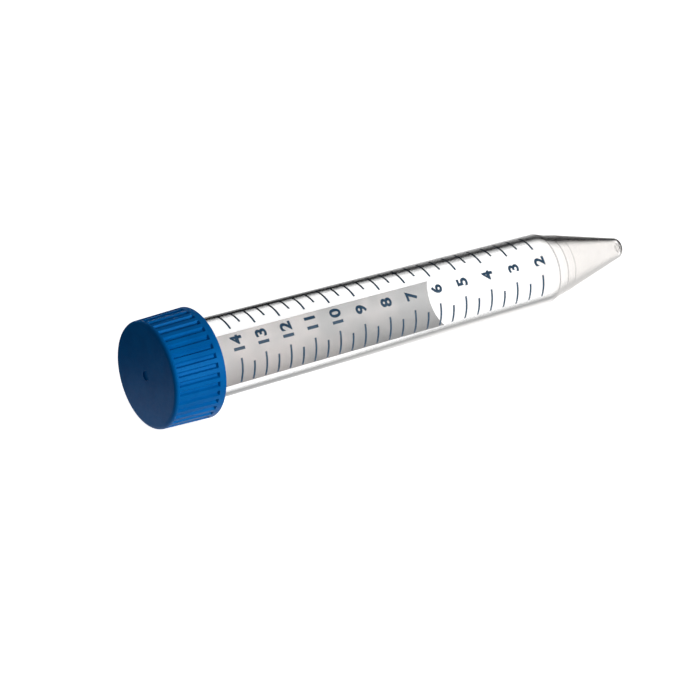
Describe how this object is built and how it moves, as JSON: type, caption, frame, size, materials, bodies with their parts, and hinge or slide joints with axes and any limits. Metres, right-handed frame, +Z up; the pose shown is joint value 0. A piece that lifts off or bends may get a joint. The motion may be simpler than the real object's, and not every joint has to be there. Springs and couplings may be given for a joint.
{
  "type": "conical tube",
  "caption": "Clear plastic conical laboratory tube with printed millilitre scale and a ribbed blue screw cap, lying on its side.",
  "frame": {"origin": "on the floor, under the middle of the whole part", "axes": "+X from the cap towards the tip, level with the floor; +Z up; the tube's own axis dips towards the tip by the angle at which it lies on its cap's rim and its shoulder"},
  "size_m": [0.1204, 0.0226, 0.0228],
  "materials": {
    "clear_plastic": "clear, gloss",
    "cap_plastic": "satin moulded blue",
    "dark_ink": "dark blue print",
    "white_ink": "white print"
  },
  "bodies": {
    "tube": {"tube": "clear_plastic", "graduation_marks": "dark_ink", "writing_panel": "white_ink"},
    "cap": {"cap": "cap_plastic"}
  },
  "joints": [
    {"name": "cap_lift", "type": "slide", "parent": "tube", "child": "cap", "axis": [-0.999, 0, 0.0437], "range_m": [0, 0.03]}
  ]
}
